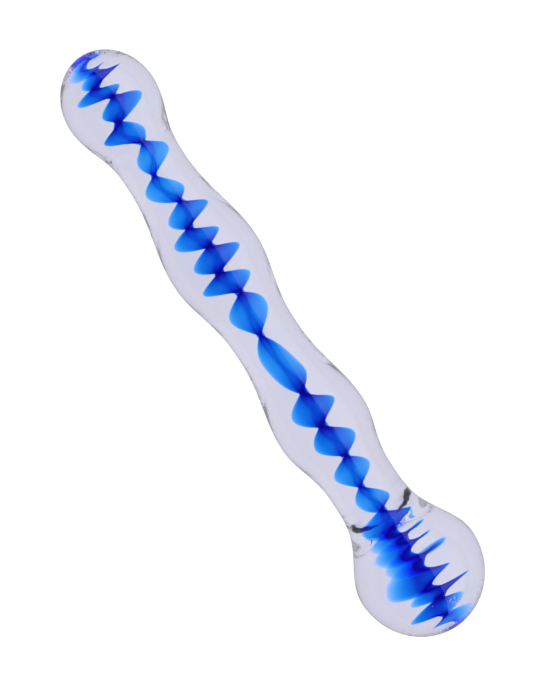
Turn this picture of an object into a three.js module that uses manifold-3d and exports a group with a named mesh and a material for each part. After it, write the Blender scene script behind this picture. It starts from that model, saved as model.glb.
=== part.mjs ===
// A glass massage wand: one solid bar of clear glass with a small ball at one end, two soft
// swells along its shaft and a large ball at the other end. A twisted ribbon of blue glass is
// sealed along the middle of it.
//
// Units are millimetres. The wand lies along X with the large ball at the +X end, +Z is up, and
// the origin is on the axis at half the length. Distances called "at" run along the axis from
// the tip of the small ball.

import * as THREE from "three";
import { mergeVertices } from "three/addons/utils/BufferGeometryUtils.js";
import Module from "manifold-3d";

const wasm = await Module();
wasm.setup();

// ---- Driving dimensions -----------------------------------------------------------------------

const LENGTH = 198;

// The outline's widest and narrowest places, in turn: a swell, a neck, a swell and so on.
const SMALL_BALL = { at: 16.0, radius: 14.1 };
const BALL_NECK = { at: 38.1, radius: 9.6 };
const FIRST_SWELL = { at: 69.7, radius: 14.05 };
const MIDDLE_NECK = { at: 96.5, radius: 10.0 };
const SECOND_SWELL = { at: 126.5, radius: 14.0 };
const SEAM_NECK = { at: 147.1, radius: 10.35 };
const LARGE_BALL = { at: 177.5, radius: 19.4 };
const OUTLINE = [SMALL_BALL, BALL_NECK, FIRST_SWELL, MIDDLE_NECK, SECOND_SWELL, SEAM_NECK, LARGE_BALL];

// How much longer a neck is than a swell: 1 is a plain cosine wave.
const SHAFT_NECK_POWER = 1.2;
const SEAM_NECK_POWER = 1.8;

// The large ball is a separate gather of glass, joined to the shaft at this seam.
const SEAM_AT = 158.5;

// The gap that neighbouring solids keep from each other.
const GAP = 0.3;

// Where the ribbon stands on edge, after each successive half-turn. The first and last of these
// are the ribbon's ends.
const HALF_TURNS_AT = [
  4.3, 6.5, 8.3, 11.5, 14.8, 20.4, 29.1, 39.8, 50.2, 58.6, 65.5, 72.6, 79.9, 94.7, 116.0, 126.5,
  136.2, 147.5, 157.2, 166.0, 170.0, 174.4, 178.2, 182.2, 185.1, 188.7, 191.5,
];

// The ribbon's angle about the axis at its first end, which stands on edge.
const PHASE = Math.PI / 2;

// +1 twists the ribbon like a right-handed screw and -1 like a left-handed one.
const TWIST = -1;

// How far the ribbon reaches from the axis along its width, forwards and backwards, and how far
// its middle plane lies beside the axis.
const RIBBON_SECTIONS = [
  { at: 4.3, forward: 3.8, backward: 3.0, offset: -0.9 },
  { at: 10, forward: 5.8, backward: 3.3, offset: -1.0 },
  { at: 18, forward: 6.1, backward: 3.0, offset: -1.0 },
  { at: 28, forward: 5.3, backward: 2.5, offset: -0.9 },
  { at: 40, forward: 4.2, backward: 2.3, offset: -0.8 },
  { at: 56, forward: 5.3, backward: 3.8, offset: -0.7 },
  { at: 72, forward: 5.9, backward: 4.7, offset: -0.6 },
  { at: 88, forward: 4.0, backward: 4.1, offset: -0.6 },
  { at: 105, forward: 3.5, backward: 2.7, offset: -0.6 },
  { at: 120, forward: 4.9, backward: 4.7, offset: -0.2 },
  { at: 136, forward: 3.8, backward: 4.4, offset: -0.3 },
  { at: 152, forward: 3.2, backward: 3.1, offset: -0.5 },
  { at: 161, forward: 5.8, backward: 5.8, offset: -0.6 },
  { at: 172, forward: 6.5, backward: 7.0, offset: -0.5 },
  { at: 178, forward: 6.2, backward: 8.6, offset: -0.4 },
  { at: 184, forward: 5.4, backward: 8.1, offset: -0.4 },
  { at: 191.5, forward: 4.0, backward: 5.2, offset: -0.6 },
];

// The ribbon's thickness, measured square to its faces.
const RIBBON_MIDDLE_THICKNESS = 1.9;
const RIBBON_EDGE_THICKNESS = 0.6;

// ---- Fineness of the facets -------------------------------------------------------------------

const SEGMENTS_ROUND = 32;
const RINGS_PER_END = 9;
const RING_SPACING = 4;
const STEPS_PER_HALF_TURN = 8;

// ---- The outline ------------------------------------------------------------------------------

// The radius at a distance along the axis: a quarter ellipse at each tip, and between the swells
// and the necks a cosine wave, raised to a power so that the necks are longer than the swells.
function outlineRadius(at) {
  if (at <= SMALL_BALL.at) {
    const fromCentre = (SMALL_BALL.at - at) / SMALL_BALL.at;
    return SMALL_BALL.radius * Math.sqrt(Math.max(0, 1 - fromCentre ** 2));
  }
  if (at >= LARGE_BALL.at) {
    const fromCentre = (at - LARGE_BALL.at) / (LENGTH - LARGE_BALL.at);
    return LARGE_BALL.radius * Math.sqrt(Math.max(0, 1 - fromCentre ** 2));
  }
  const next = OUTLINE.findIndex((place) => at < place.at);
  const [before, after] = [OUTLINE[next - 1], OUTLINE[next]];
  const [neck, swell] = before.radius < after.radius ? [before, after] : [after, before];
  const fromNeck = (at - neck.at) / (swell.at - neck.at);
  const power = swell === LARGE_BALL ? SEAM_NECK_POWER : SHAFT_NECK_POWER;
  const rise = ((1 - Math.cos(Math.PI * fromNeck)) / 2) ** power;
  return neck.radius + (swell.radius - neck.radius) * rise;
}

// Places along the outline from one distance to another: close together round the tips, where
// the outline turns fastest, and evenly spaced along the shaft. None comes close to a cut end.
function outlinePlaces(from, to) {
  const places = [];
  for (let ring = 0; ring < RINGS_PER_END; ring += 1) {
    const fromCentre = Math.cos((ring / RINGS_PER_END) * (Math.PI / 2));
    places.push(SMALL_BALL.at * (1 - fromCentre));
    places.push(LARGE_BALL.at + (LENGTH - LARGE_BALL.at) * fromCentre);
  }
  const rings = Math.round((LARGE_BALL.at - SMALL_BALL.at) / RING_SPACING);
  for (let ring = 0; ring <= rings; ring += 1) {
    places.push(SMALL_BALL.at + (ring / rings) * (LARGE_BALL.at - SMALL_BALL.at));
  }
  const clearance = (end) => (end > 0 && end < LENGTH ? RING_SPACING / 8 : 0);
  const between = places.filter((at) => at > from + clearance(from) && at < to - clearance(to));
  return [from, ...between, to].sort((first, second) => first - second);
}

// The glass between two distances, turned on the wand's axis with a flat face at a cut end.
function turnedGlass(from, to) {
  const profile = outlinePlaces(from, to).map((at) => new THREE.Vector2(outlineRadius(at), at));
  if (from > 0) profile.unshift(new THREE.Vector2(0, from));
  if (to < LENGTH) profile.push(new THREE.Vector2(0, to));
  const glass = new THREE.LatheGeometry(profile, SEGMENTS_ROUND);
  glass.rotateZ(-Math.PI / 2);
  glass.translate(-LENGTH / 2, 0, 0);
  return glass;
}

// ---- The ribbon -------------------------------------------------------------------------------

// The ribbon's angle about the axis. The twist quickens and slows smoothly, because the slope at
// each half-turn is taken from its neighbours on both sides.
function ribbonAngle(at) {
  const last = HALF_TURNS_AT.length - 1;
  const after = Math.min(Math.max(HALF_TURNS_AT.findIndex((place) => at < place), 1), last);
  const slope = (index) => {
    const [low, high] = [Math.max(index - 1, 0), Math.min(index + 1, last)];
    return (high - low) / (HALF_TURNS_AT[high] - HALF_TURNS_AT[low]);
  };
  const turned = at >= HALF_TURNS_AT[last] ? last : after;
  const span = HALF_TURNS_AT[turned] - HALF_TURNS_AT[turned - 1];
  const along = (at - HALF_TURNS_AT[turned - 1]) / span;
  const cubic = along ** 2 * (3 - 2 * along);
  const leaving = along * (1 - along) ** 2 * slope(turned - 1) * span;
  const arriving = along ** 2 * (along - 1) * slope(turned) * span;
  return PHASE + TWIST * Math.PI * (turned - 1 + cubic + leaving + arriving);
}

// The ribbon's reaches and offset at a place, blended smoothly between the stated ones.
function ribbonShape(at) {
  const last = RIBBON_SECTIONS.length - 1;
  const found = RIBBON_SECTIONS.findIndex((place) => at < place.at);
  const after = found < 0 ? last : Math.max(found, 1);
  const [low, high] = [RIBBON_SECTIONS[after - 1], RIBBON_SECTIONS[after]];
  const along = Math.min(Math.max((at - low.at) / (high.at - low.at), 0), 1);
  const blend = along ** 2 * (3 - 2 * along);
  const blended = (key) => low[key] + (high[key] - low[key]) * blend;
  return { forward: blended("forward"), backward: blended("backward"), offset: blended("offset") };
}

// One cross-section of the ribbon, thick in the middle and thin at its edges, grown all round by
// a margin. The twist tilts the ribbon's faces, most of all at its edges, so there the section is
// thicker than the ribbon is square to its faces.
function ribbonSection(at, margin) {
  const { forward, backward, offset } = ribbonShape(at);
  const step = 0.05;
  const twist = (ribbonAngle(at + step) - ribbonAngle(at - step)) / (2 * step);
  const half = (across, thickness) => (thickness / 2 + margin) * Math.sqrt(1 + (across * twist) ** 2);
  const stations = [
    { across: forward + margin, half: half(forward, RIBBON_EDGE_THICKNESS) },
    { across: (forward - backward) / 2, half: half(0, RIBBON_MIDDLE_THICKNESS) },
    { across: -backward - margin, half: half(backward, RIBBON_EDGE_THICKNESS) },
  ];
  const upper = stations.map(({ across, half }) => [across, offset + half]);
  const lower = stations.map(({ across, half }) => [across, offset - half]).reverse();
  const angle = ribbonAngle(at);
  const [cos, sin] = [Math.cos(angle), Math.sin(angle)];
  return [...upper, ...lower].map(
    ([across, out]) => new THREE.Vector3(at - LENGTH / 2, across * cos - out * sin, across * sin + out * cos),
  );
}

// The twisted solid of the ribbon, or of the room it needs in the glass, as a stack of sections.
function twistedSolid(margin) {
  const places = [];
  for (let turn = 1; turn < HALF_TURNS_AT.length; turn += 1) {
    const [low, high] = [HALF_TURNS_AT[turn - 1], HALF_TURNS_AT[turn]];
    for (let step = 0; step < STEPS_PER_HALF_TURN; step += 1) {
      places.push(low + (step / STEPS_PER_HALF_TURN) * (high - low));
    }
  }
  places.push(HALF_TURNS_AT.at(-1));
  if (margin > 0) {
    places.unshift(places[0] - margin);
    places.push(places.at(-1) + margin);
  }
  const sections = places.map((at) => ribbonSection(at, margin));
  const count = sections[0].length;
  const faces = [];
  sections.slice(1).forEach((_, index) => {
    const [low, high] = [index * count, (index + 1) * count];
    for (let corner = 0; corner < count; corner += 1) {
      const next = (corner + 1) % count;
      // A side face along a thin edge is split along its shorter diagonal, which keeps it convex.
      const alongEdge = (corner + 1) % (count / 2) === 0;
      if (alongEdge === TWIST > 0) {
        faces.push(low + corner, low + next, high + corner);
        faces.push(low + next, high + next, high + corner);
      } else {
        faces.push(low + corner, low + next, high + next);
        faces.push(low + corner, high + next, high + corner);
      }
    }
  });
  const top = (sections.length - 1) * count;
  // Each end cap is two four-sided halves, one on each side of the section's middle.
  for (const [first, second, third, fourth] of [[0, 1, 4, 5], [1, 2, 3, 4]]) {
    faces.push(first, third, second, first, fourth, third);
    faces.push(top + first, top + second, top + third, top + first, top + third, top + fourth);
  }
  const solid = new THREE.BufferGeometry().setFromPoints(sections.flat());
  solid.setIndex(faces);
  return solid;
}

// ---- Cutting ----------------------------------------------------------------------------------

function toManifold(geometry) {
  const bare = geometry.clone();
  bare.deleteAttribute("normal");
  bare.deleteAttribute("uv");
  const merged = mergeVertices(bare, 1e-5);
  const [points, index] = [merged.attributes.position.array, merged.index.array];
  const faces = [];
  for (let face = 0; face < index.length; face += 3) {
    const [a, b, c] = [index[face], index[face + 1], index[face + 2]];
    if (a !== b && b !== c && c !== a) faces.push(a, b, c);
  }
  return new wasm.Manifold(
    new wasm.Mesh({
      numProp: 3,
      vertProperties: new Float32Array(points),
      triVerts: new Uint32Array(faces),
    }),
  );
}

function toGeometry(solid) {
  const mesh = solid.getMesh();
  const geometry = new THREE.BufferGeometry();
  geometry.setAttribute("position", new THREE.BufferAttribute(new Float32Array(mesh.vertProperties), 3));
  geometry.setIndex(Array.from(mesh.triVerts));
  return geometry;
}

// ---- The pieces -------------------------------------------------------------------------------

function piece(name, geometry, material) {
  geometry.computeVertexNormals();
  const mesh = new THREE.Mesh(geometry, material);
  mesh.name = name;
  return mesh;
}

const clearGlass = new THREE.MeshStandardMaterial({
  color: 0xe2e2ee,
  roughness: 0.03,
  metalness: 0,
  transparent: true,
  opacity: 0.35,
});
const blueGlass = new THREE.MeshStandardMaterial({ color: 0x0a50dc, roughness: 0.1, metalness: 0 });

const ribbonRoom = toManifold(twistedSolid(GAP));
const shaftSolid = toManifold(turnedGlass(0, SEAM_AT - GAP / 2)).subtract(ribbonRoom);
const ballSolid = toManifold(turnedGlass(SEAM_AT + GAP / 2, LENGTH)).subtract(ribbonRoom);

const wand = new THREE.Group();
wand.add(piece("glass_shaft", toGeometry(shaftSolid), clearGlass));
wand.add(piece("glass_ball_end", toGeometry(ballSolid), clearGlass));
wand.add(piece("blue_ribbon", twistedSolid(0), blueGlass));

export default wand;
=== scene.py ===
"""A solid clear glass massage wand with a twisted blue glass ribbon sealed inside it.

The wand lies along X with its large ball at +X. Objects are in metres. Distances called "at"
are millimetres along the axis from the tip of the small ball, as in the CAD model.
"""
import math
import random

import bpy
from mathutils import Matrix, Vector, noise


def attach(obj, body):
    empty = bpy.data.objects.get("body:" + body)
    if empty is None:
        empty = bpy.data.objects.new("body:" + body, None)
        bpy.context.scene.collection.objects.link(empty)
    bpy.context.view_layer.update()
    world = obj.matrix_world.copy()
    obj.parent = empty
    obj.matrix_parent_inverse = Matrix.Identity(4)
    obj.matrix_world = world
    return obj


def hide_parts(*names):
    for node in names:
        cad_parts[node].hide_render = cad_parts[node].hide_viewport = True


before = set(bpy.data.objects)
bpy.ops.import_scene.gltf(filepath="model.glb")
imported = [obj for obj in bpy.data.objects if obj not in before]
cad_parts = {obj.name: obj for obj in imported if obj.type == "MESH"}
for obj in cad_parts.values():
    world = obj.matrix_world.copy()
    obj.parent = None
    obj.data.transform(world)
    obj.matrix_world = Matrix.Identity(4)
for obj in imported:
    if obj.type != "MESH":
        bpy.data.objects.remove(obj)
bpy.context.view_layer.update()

MM = 0.001
LENGTH = 198.0

# ---- The glass body's outline, (at, radius), as in the CAD model ------------------------------

SMALL_BALL = (16.0, 14.1)
BALL_NECK = (38.1, 9.6)
FIRST_SWELL = (69.7, 14.05)
MIDDLE_NECK = (96.5, 10.0)
SECOND_SWELL = (126.5, 14.0)
SEAM_NECK = (147.1, 10.35)
LARGE_BALL = (177.5, 19.4)
OUTLINE = [SMALL_BALL, BALL_NECK, FIRST_SWELL, MIDDLE_NECK, SECOND_SWELL, SEAM_NECK, LARGE_BALL]
# The power of the wave from a neck to a swell: 1 is a plain cosine, and more makes longer necks.
SHAFT_NECK_POWER = 1.2
SEAM_NECK_POWER = 1.8

BODY_SEGMENTS = 224
BODY_RINGS = 640

# Hand-worked waves and ripples in the surface: (middle, reach along the axis, depth, length).
WAVES = [(99, 400, 0.05, 14.0), (30.0, 4.5, 0.24, 2.6), (160.0, 3.5, 0.14, 1.9)]

# Small bubbles: (at, sideways, up, radius, how many, spread). Each one's radius is multiplied by
# a random size between the two given.
BUBBLES = [
    (187.6, 2.8, 3.4, 0.2, 22, 1.3),
    (186.4, -1.6, 1.8, 0.13, 3, 0.8),
    (79.9, 0.4, 3.8, 0.2, 1, 0),
    (126.5, 0.6, 3.6, 0.16, 1, 0),
    (136.2, -0.3, 3.4, 0.18, 1, 0),
    (28.0, 2.0, 3.0, 0.14, 2, 0.6),
]
BUBBLE_SIZES = (0.6, 1.3)
BUBBLE_SEED = 7
BUBBLE_RINGS = 5
BUBBLE_SEGMENTS = 8

# ---- The ribbon -------------------------------------------------------------------------------

# The twist is left-handed, and the ribbon stands on edge at each of the half-turns.
TWIST = -1
PHASE = math.pi / 2
HALF_TURNS_AT = [
    4.3, 6.5, 8.3, 11.5, 14.8, 20.4, 29.1, 39.8, 50.2, 58.6, 65.5, 72.6, 79.9, 94.7,
    116.0, 126.5, 136.2, 147.5, 157.2, 166.0, 170.0, 174.4, 178.2, 182.2, 185.1, 188.7, 191.5,
]
# At each place: the width on one side of the axis, on the other, and the offset from the axis.
RIBBON_SECTIONS = [
    (4.3, 3.8, 3.0, -0.9),
    (10, 5.8, 3.3, -1.0),
    (18, 6.1, 3.0, -1.0),
    (28, 5.3, 2.5, -0.9),
    (40, 4.2, 2.3, -0.8),
    (56, 5.3, 3.8, -0.7),
    (72, 5.9, 4.7, -0.6),
    (88, 4.0, 4.1, -0.6),
    (105, 3.5, 2.7, -0.6),
    (120, 4.9, 4.7, -0.2),
    (136, 3.8, 4.4, -0.3),
    (152, 3.2, 3.1, -0.5),
    (161, 5.8, 5.8, -0.6),
    (172, 6.5, 7.0, -0.5),
    (178, 6.2, 8.6, -0.4),
    (184, 5.4, 8.1, -0.4),
    (191.5, 4.0, 5.2, -0.6),
]
# The flat part's thickness in the shaft's swells and in the balls, and at its edges there. The
# fuller it is, the closer to its edges it starts to thin.
RIBBON_THICKNESS = 1.45
RIBBON_BALL_THICKNESS = 2.2
RIBBON_EDGE_THICKNESS = 0.35
RIBBON_BALL_EDGE_THICKNESS = 0.12
RIBBON_FULLNESS = 3.0
RIBBON_BALL_FULLNESS = 1.6
# The ribbon is drawn out thinner where the glass round it is.
RIBBON_THINNING_POWER = 1.8
# From each of these places towards its nearer tip, the shaft's form blends into the ball's.
RIBBON_BALLS_AT = (14, 159)
RIBBON_BALL_BLEND = 6
# A low rib along the ribbon's middle, and its width as a share of half the ribbon's.
RIBBON_RIB = 0.8
RIBBON_RIB_WIDTH = 0.15
# The ribbon thins to this share of its thickness at its two ends, and its edges are rounded.
RIBBON_END_LENGTH = 6.0
RIBBON_END_THICKNESS = 0.3
RIBBON_EDGE_SHARPNESS = 3

RIBBON_STEPS = 28
RIBBON_ACROSS = 30

# ---- Glass ------------------------------------------------------------------------------------

GLASS_IOR = 1.47
GLASS_TINT = (0.67, 0.66, 0.77)
RIBBON_ABSORPTION = (0.0, 0.745, 0.925)
RIBBON_DENSITY = 4500.0
# A painted blue glow on the ribbon: it gives off light though it is no lamp.
RIBBON_PAINTED_GLOW = (0.02, 0.01, 1.0)
RIBBON_PAINTED_GLOW_STRENGTH = 0.19
# Light runs to and fro many times inside the balls before it leaves.
LIGHT_BOUNCES = 200

# ---- Floor ------------------------------------------------------------------------------------

# Through glass, the floor is bright in an ellipse round the wand, which reaches this far beside
# it and along it. Farther out it fades, until it is dim at the faded distance beside the wand.
FLOOR_REACH = 0.045
FLOOR_HALF_LENGTH = 0.14
FLOOR_FADED = 0.075
FLOOR_NEAR = 0.9
FLOOR_FAR = 0.3
FLOOR_REFLECTED = 0.25
FLOOR_SHADE = 0.3
FLOOR_ROUGHNESS = 0.7
FLOOR_GAP = 0.0001
FLOOR_HALF_SIDE = 4.0

# ---- Studio: angles are from straight up towards +Y -------------------------------------------

REFLECTED_SKY = 0.03
REFLECTED_SOFTBOX = 1.0
SOFTBOX_FROM = math.radians(17)
SOFTBOX_TO = math.radians(62)
SOFTBOX_GONE = math.radians(92)
# What shows through the glass: a bright sky over a dark strip along the horizon, which is
# darkest towards the wand's two ends and rises towards the large ball's end.
REFRACTED_SKY = 0.95
REFRACTED_HORIZON = 0.28
REFRACTED_HORIZON_AT_ENDS = 0.02
HORIZON_ENDS = (0.67, 0.78)
HORIZON_TOP = (0.24, 0.27)
HORIZON_RISE = 0.35

# ---- Camera -----------------------------------------------------------------------------------

# The way the wand's axis points in the view, to the right and up.
AXIS_IN_VIEW = (0.54999, -0.83517)
CAMERA_TILT = math.radians(6)
CAMERA_DISTANCE = 0.65
CAMERA_NEAREST = 0.01
# The view's centre, along the wand's axis and beside it, and the height that the view spans.
CAMERA_ALONG = 0.00058
CAMERA_BESIDE = 0.00103
VIEW_HEIGHT = 0.19963
SENSOR_WIDTH = 36


# ---- Shapes -----------------------------------------------------------------------------------


def smooth_step(share):
    share = min(max(share, 0.0), 1.0)
    return share**2 * (3 - 2 * share)


def blend(first, second, share):
    return first + (second - first) * share


def outline_radius(at):
    """A quarter ellipse at each tip, and waves between the swells and the necks."""
    if at <= SMALL_BALL[0]:
        across = (SMALL_BALL[0] - at) / SMALL_BALL[0]
        return SMALL_BALL[1] * math.sqrt(max(0.0, 1 - across**2))
    if at >= LARGE_BALL[0]:
        across = (at - LARGE_BALL[0]) / (LENGTH - LARGE_BALL[0])
        return LARGE_BALL[1] * math.sqrt(max(0.0, 1 - across**2))
    after = next(i for i, place in enumerate(OUTLINE) if at < place[0])
    neck, swell = sorted((OUTLINE[after - 1], OUTLINE[after]), key=lambda place: place[1])
    power = SEAM_NECK_POWER if swell is LARGE_BALL else SHAFT_NECK_POWER
    rise = ((1 - math.cos(math.pi * (at - neck[0]) / (swell[0] - neck[0]))) / 2) ** power
    return neck[1] + (swell[1] - neck[1]) * rise


def ribbon_angle(at):
    """The ribbon's angle about the axis, with a twist that quickens and slows smoothly."""
    last = len(HALF_TURNS_AT) - 1
    turned = next((i for i, place in enumerate(HALF_TURNS_AT) if at < place), last)
    turned = max(turned, 1)

    def slope(i):
        low, high = max(i - 1, 0), min(i + 1, last)
        return (high - low) / (HALF_TURNS_AT[high] - HALF_TURNS_AT[low])

    span = HALF_TURNS_AT[turned] - HALF_TURNS_AT[turned - 1]
    along = (at - HALF_TURNS_AT[turned - 1]) / span
    cubic = along**2 * (3 - 2 * along)
    leaving = along * (1 - along) ** 2 * slope(turned - 1) * span
    arriving = along**2 * (along - 1) * slope(turned) * span
    return PHASE + TWIST * math.pi * (turned - 1 + cubic + leaving + arriving)


def ribbon_section(at):
    """The widths and the offset at a place, blended smoothly between the rows above."""
    last = len(RIBBON_SECTIONS) - 1
    after = next((i for i, row in enumerate(RIBBON_SECTIONS) if at < row[0]), last)
    low, high = RIBBON_SECTIONS[after - 1], RIBBON_SECTIONS[after]
    share = smooth_step((at - low[0]) / (high[0] - low[0]))
    return [blend(a, b, share) for a, b in zip(low[1:], high[1:])]


def ribbon_thickness(at, share):
    """The thickness across the ribbon, from -1 at one edge to 1 at the other."""
    in_small_ball = smooth_step((RIBBON_BALLS_AT[0] - at) / RIBBON_BALL_BLEND)
    in_large_ball = smooth_step((at - RIBBON_BALLS_AT[1]) / RIBBON_BALL_BLEND)
    in_ball = max(in_small_ball, in_large_ball)
    edge = blend(RIBBON_EDGE_THICKNESS, RIBBON_BALL_EDGE_THICKNESS, in_ball)
    fullness = blend(RIBBON_FULLNESS, RIBBON_BALL_FULLNESS, in_ball)
    drawn_out = (outline_radius(at) / FIRST_SWELL[1]) ** RIBBON_THINNING_POWER
    middle = blend(RIBBON_THICKNESS * drawn_out, RIBBON_BALL_THICKNESS, in_ball)
    flat = blend(edge, middle, 1 - abs(share) ** fullness)
    return flat + RIBBON_RIB * math.exp(-((share / RIBBON_RIB_WIDTH) ** 2))


def worked_depth(at, angle):
    """How far the hand-worked surface sinks below the plain outline at a place."""
    depth = 0.0
    for middle, reach, deepest, length in WAVES:
        fade = math.exp(-(((at - middle) / reach) ** 2))
        round_place = Vector((math.cos(angle), math.sin(angle))) * outline_radius(at)
        depth += deepest * fade * (1 - noise.noise(Vector((at, *round_place)) / length)) / 2
    return depth


# ---- Pieces -----------------------------------------------------------------------------------


def new_mesh(name, points, faces, material):
    mesh = bpy.data.meshes.new(name)
    mesh.from_pydata(points, [], faces)
    mesh.polygons.foreach_set("use_smooth", [True] * len(mesh.polygons))
    mesh.materials.append(material)
    piece = bpy.data.objects.new(name, mesh)
    bpy.context.scene.collection.objects.link(piece)
    return piece


def stack_faces(rings, count, first=0):
    """Faces round a stack of rings of as many points each, with a cap at each end."""
    faces = []
    for low in range(first, first + (rings - 1) * count, count):
        high = low + count
        for corner in range(count):
            following = (corner + 1) % count
            faces.append((low + corner, low + following, high + following, high + corner))
    top = first + (rings - 1) * count
    faces.append(tuple(reversed(range(first, first + count))))
    faces.append(tuple(range(top, top + count)))
    return faces


def bubble(centre, radius, points, faces):
    """A round void in the glass, whose faces look into it."""
    first = len(points)
    for ring in range(1, BUBBLE_RINGS + 1):
        turn = math.pi * ring / (BUBBLE_RINGS + 1)
        for step in range(BUBBLE_SEGMENTS):
            angle = 2 * math.pi * step / BUBBLE_SEGMENTS
            on_ring = Vector((math.cos(angle), math.sin(angle))) * math.sin(turn)
            points.append((centre + Vector((math.cos(turn), *on_ring)) * radius) * MM)
    faces += stack_faces(BUBBLE_RINGS, BUBBLE_SEGMENTS, first)


def glass_body(material):
    points = []
    for ring in range(1, BODY_RINGS):
        at = LENGTH * (1 - math.cos(math.pi * ring / BODY_RINGS)) / 2
        for step in range(BODY_SEGMENTS):
            angle = 2 * math.pi * step / BODY_SEGMENTS
            radius = outline_radius(at) - worked_depth(at, angle)
            across = (radius * math.cos(angle), radius * math.sin(angle))
            points.append(Vector((at - LENGTH / 2, *across)) * MM)
    faces = stack_faces(BODY_RINGS - 1, BODY_SEGMENTS)
    draw = random.Random(BUBBLE_SEED)
    for at, sideways, up, radius, how_many, spread in BUBBLES:
        for _ in range(how_many):
            drift = Vector([draw.uniform(-spread, spread) for _ in range(3)])
            size = radius * draw.uniform(*BUBBLE_SIZES)
            bubble(Vector((at - LENGTH / 2, sideways, up)) + drift, size, points, faces)
    return new_mesh("clear_glass_body", points, faces, material)


def ribbon(material):
    stations = []
    for low, high in zip(HALF_TURNS_AT, HALF_TURNS_AT[1:]):
        stations += [low + (high - low) * step / RIBBON_STEPS for step in range(RIBBON_STEPS)]
    stations.append(HALF_TURNS_AT[-1])
    points = []
    for at in stations:
        wide, narrow, offset = ribbon_section(at)
        angle = ribbon_angle(at)
        from_end = min(at - stations[0], stations[-1] - at)
        taper = blend(RIBBON_END_THICKNESS, 1, min(1.0, from_end / RIBBON_END_LENGTH))
        centre = Vector((at - LENGTH / 2, 0, 0))
        outward = Vector((0, -math.sin(angle), math.cos(angle)))
        sideways = Vector((0, math.cos(angle), math.sin(angle)))
        for step in range(2 * RIBBON_ACROSS):
            turn = math.pi * step / RIBBON_ACROSS
            share = math.cos(turn)
            rounding = min(1.0, abs(math.sin(turn)) * RIBBON_EDGE_SHARPNESS)
            half = ribbon_thickness(at, share) / 2 * taper * rounding
            across = (wide - narrow) / 2 + (wide + narrow) / 2 * share
            out = offset + math.copysign(half, math.sin(turn))
            points.append((centre + sideways * across + outward * out) * MM)
    faces = stack_faces(len(stations), 2 * RIBBON_ACROSS)
    return new_mesh("twisted_blue_ribbon", points, faces, material)


# ---- Materials and the studio -----------------------------------------------------------------


def set_inputs(tree, node, inputs):
    """Gives each input a value, or links another node's output to it."""
    for socket, given in inputs.items():
        if isinstance(given, bpy.types.NodeSocket):
            tree.links.new(given, node.inputs[socket])
        else:
            node.inputs[socket].default_value = given


def add_node(tree, kind, inputs, **settings):
    made = tree.nodes.new("ShaderNode" + kind)
    for name, setting in settings.items():
        setattr(made, name, setting)
    set_inputs(tree, made, inputs)
    return made


def add_math(tree, operation, first, second=0.0):
    return add_node(tree, "Math", {0: first, 1: second}, operation=operation).outputs[0]


def add_range(tree, value, source, target=(0.0, 1.0), interpolation="SMOOTHSTEP"):
    """Maps a value from one range to another, where the target's ends may be outputs too."""
    names = ("From Min", "From Max", "To Min", "To Max")
    inputs = {"Value": value, **dict(zip(names, (*source, *target)))}
    return add_node(tree, "MapRange", inputs, interpolation_type=interpolation).outputs["Result"]


def new_material(name, inputs):
    """A material with a plain Principled shader, and its node tree."""
    material = bpy.data.materials.new(name)
    material.use_nodes = True
    tree = material.node_tree
    set_inputs(tree, tree.nodes["Principled BSDF"], inputs)
    return material, tree


def clear_glass():
    inputs = {
        "Base Color": (*GLASS_TINT, 1),
        "Roughness": 0.0,
        "IOR": GLASS_IOR,
        "Transmission Weight": 1.0,
    }
    return new_material("clear_glass", inputs)[0]


def blue_glass():
    """Its index is relative to the clear glass round it, so 1 bends and reflects nothing. Its
    emission is a painted blue glow.
    """
    inputs = {
        "Base Color": (1, 1, 1, 1),
        # The emission is a painted glow, since the ribbon is no lamp.
        "Emission Color": (*RIBBON_PAINTED_GLOW, 1),
        "Emission Strength": RIBBON_PAINTED_GLOW_STRENGTH,
        "Roughness": 0.0,
        "IOR": 1.0,
        "Transmission Weight": 1.0,
    }
    material, tree = new_material("blue_glass", inputs)
    absorbing = {"Color": (*RIBBON_ABSORPTION, 1), "Density": RIBBON_DENSITY}
    volume = add_node(tree, "VolumeAbsorption", absorbing).outputs["Volume"]
    set_inputs(tree, tree.nodes["Material Output"], {"Volume": volume})
    return material


def pale_floor():
    """White to the camera, dim in reflections, and fading with distance through glass."""
    inputs = {
        "Base Color": (FLOOR_SHADE, FLOOR_SHADE, FLOOR_SHADE, 1),
        "Roughness": FLOOR_ROUGHNESS,
        "Emission Color": (1, 1, 1, 1),
    }
    material, tree = new_material("pale_floor", inputs)
    place = tree.nodes.new("ShaderNodeNewGeometry").outputs["Position"]
    flattened = {0: place, 1: (FLOOR_REACH / FLOOR_HALF_LENGTH, 1, 0)}
    beside = add_node(tree, "VectorMath", flattened, operation="MULTIPLY").outputs[0]
    distance = add_node(tree, "VectorMath", {0: beside}, operation="LENGTH").outputs["Value"]
    faded = add_range(tree, distance, (FLOOR_REACH, FLOOR_FADED), (FLOOR_NEAR, FLOOR_FAR))
    path = tree.nodes.new("ShaderNodeLightPath").outputs
    shown = add_range(
        tree, path["Is Transmission Ray"], (0.0, 1.0), (FLOOR_REFLECTED, faded), "LINEAR"
    )
    strength = add_math(tree, "MAXIMUM", path["Is Camera Ray"], shown)
    set_inputs(tree, tree.nodes["Principled BSDF"], {"Emission Strength": strength})
    return material


def floor():
    """A plane that both balls rest on."""
    lean = math.asin((LARGE_BALL[1] - SMALL_BALL[1]) / (LARGE_BALL[0] - SMALL_BALL[0]))
    along = Vector((math.cos(lean), 0, -math.sin(lean)))
    down = Vector((-math.sin(lean), 0, -math.cos(lean)))
    across = Vector((0, 1, 0))
    centre = Vector(((LARGE_BALL[0] - LENGTH / 2) * MM, 0, 0))
    foot = centre + down * (LARGE_BALL[1] * MM + FLOOR_GAP)
    corners = ((-1, -1), (1, -1), (1, 1), (-1, 1))
    points = [foot + (along * a + across * b) * FLOOR_HALF_SIDE for a, b in corners]
    new_mesh("studio_floor", points, [(0, 1, 2, 3)], pale_floor())


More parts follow.
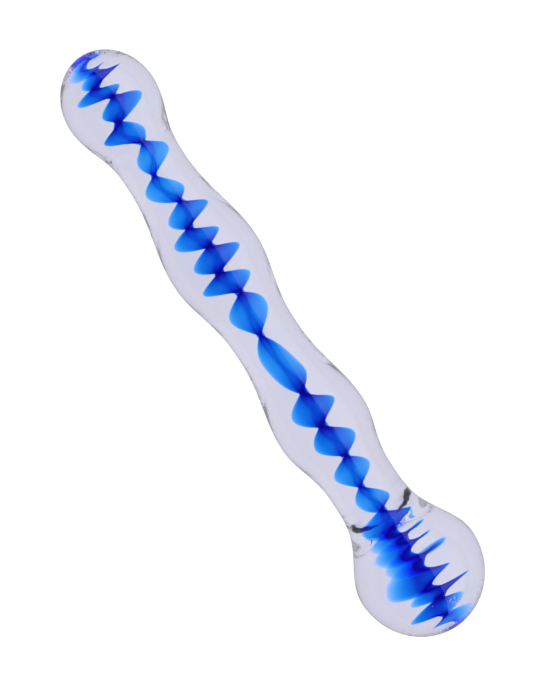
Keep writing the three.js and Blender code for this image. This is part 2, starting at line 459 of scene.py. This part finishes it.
def studio():
    """White to the camera, a softbox to reflections, and a sky over a horizon through glass."""
    world = bpy.data.worlds.new("studio")
    bpy.context.scene.world = world
    world.use_nodes = True
    tree = world.node_tree
    tree.nodes.clear()

    def background(strength):
        inputs = {"Strength": strength, "Color": (1, 1, 1, 1)}
        return add_node(tree, "Background", inputs).outputs[0]

    def mix(share, first, second):
        return add_node(tree, "MixShader", {0: share, 1: first, 2: second}).outputs[0]

    direction = tree.nodes.new("ShaderNodeTexCoord").outputs["Generated"]
    part = add_node(tree, "SeparateXYZ", {0: direction}).outputs

    sideways = add_math(tree, "ARCTAN2", part["Y"], part["Z"])
    begun = add_math(tree, "GREATER_THAN", sideways, SOFTBOX_FROM)
    not_gone = add_range(tree, sideways, (SOFTBOX_GONE, SOFTBOX_TO))
    in_box = add_math(tree, "MULTIPLY", begun, not_gone)
    softbox = add_math(tree, "MULTIPLY", in_box, REFLECTED_SOFTBOX - REFLECTED_SKY)
    reflected = background(add_math(tree, "ADD", softbox, REFLECTED_SKY))

    towards_end = add_math(tree, "ABSOLUTE", part["X"])
    levels = (REFRACTED_HORIZON, REFRACTED_HORIZON_AT_ENDS)
    horizon = add_range(tree, towards_end, HORIZON_ENDS, levels, "LINEAR")
    risen = add_math(tree, "MULTIPLY", part["X"], HORIZON_RISE)
    height = add_math(tree, "SUBTRACT", part["Z"], risen)
    refracted = background(add_range(tree, height, HORIZON_TOP, (horizon, REFRACTED_SKY)))

    path = tree.nodes.new("ShaderNodeLightPath").outputs
    seen = mix(path["Is Transmission Ray"], reflected, refracted)
    seen = mix(path["Is Camera Ray"], seen, background(1.0))
    add_node(tree, "OutputWorld", {"Surface": seen})


def camera():
    looking = Vector((math.sin(CAMERA_TILT), 0, -math.cos(CAMERA_TILT)))
    back = -looking
    axis_seen = Vector((math.cos(CAMERA_TILT), 0, math.sin(CAMERA_TILT)))
    beside = back.cross(axis_seen)
    right = axis_seen * AXIS_IN_VIEW[0] - beside * AXIS_IN_VIEW[1]
    up = axis_seen * AXIS_IN_VIEW[1] + beside * AXIS_IN_VIEW[0]
    data = bpy.data.cameras.new("camera")
    data.sensor_width = SENSOR_WIDTH
    data.lens = SENSOR_WIDTH * CAMERA_DISTANCE / VIEW_HEIGHT
    data.clip_start = CAMERA_NEAREST
    place = back * CAMERA_DISTANCE + axis_seen * CAMERA_ALONG + beside * CAMERA_BESIDE
    eye = bpy.data.objects.new("camera", data)
    turned = Matrix((right, up, back)).transposed().to_4x4()
    eye.matrix_world = Matrix.Translation(place) @ turned
    bpy.context.scene.collection.objects.link(eye)
    bpy.context.scene.camera = eye


# ---- The scene --------------------------------------------------------------------------------

camera()
studio()
floor()

body = glass_body(clear_glass())
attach(body, "root")
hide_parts("glass_shaft", "glass_ball_end")

strip = ribbon(blue_glass())
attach(strip, "root")
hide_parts("blue_ribbon")

scene = bpy.context.scene
scene.view_settings.view_transform = "Standard"
scene.cycles.max_bounces = LIGHT_BOUNCES
scene.cycles.transmission_bounces = LIGHT_BOUNCES
scene.cycles.glossy_bounces = LIGHT_BOUNCES
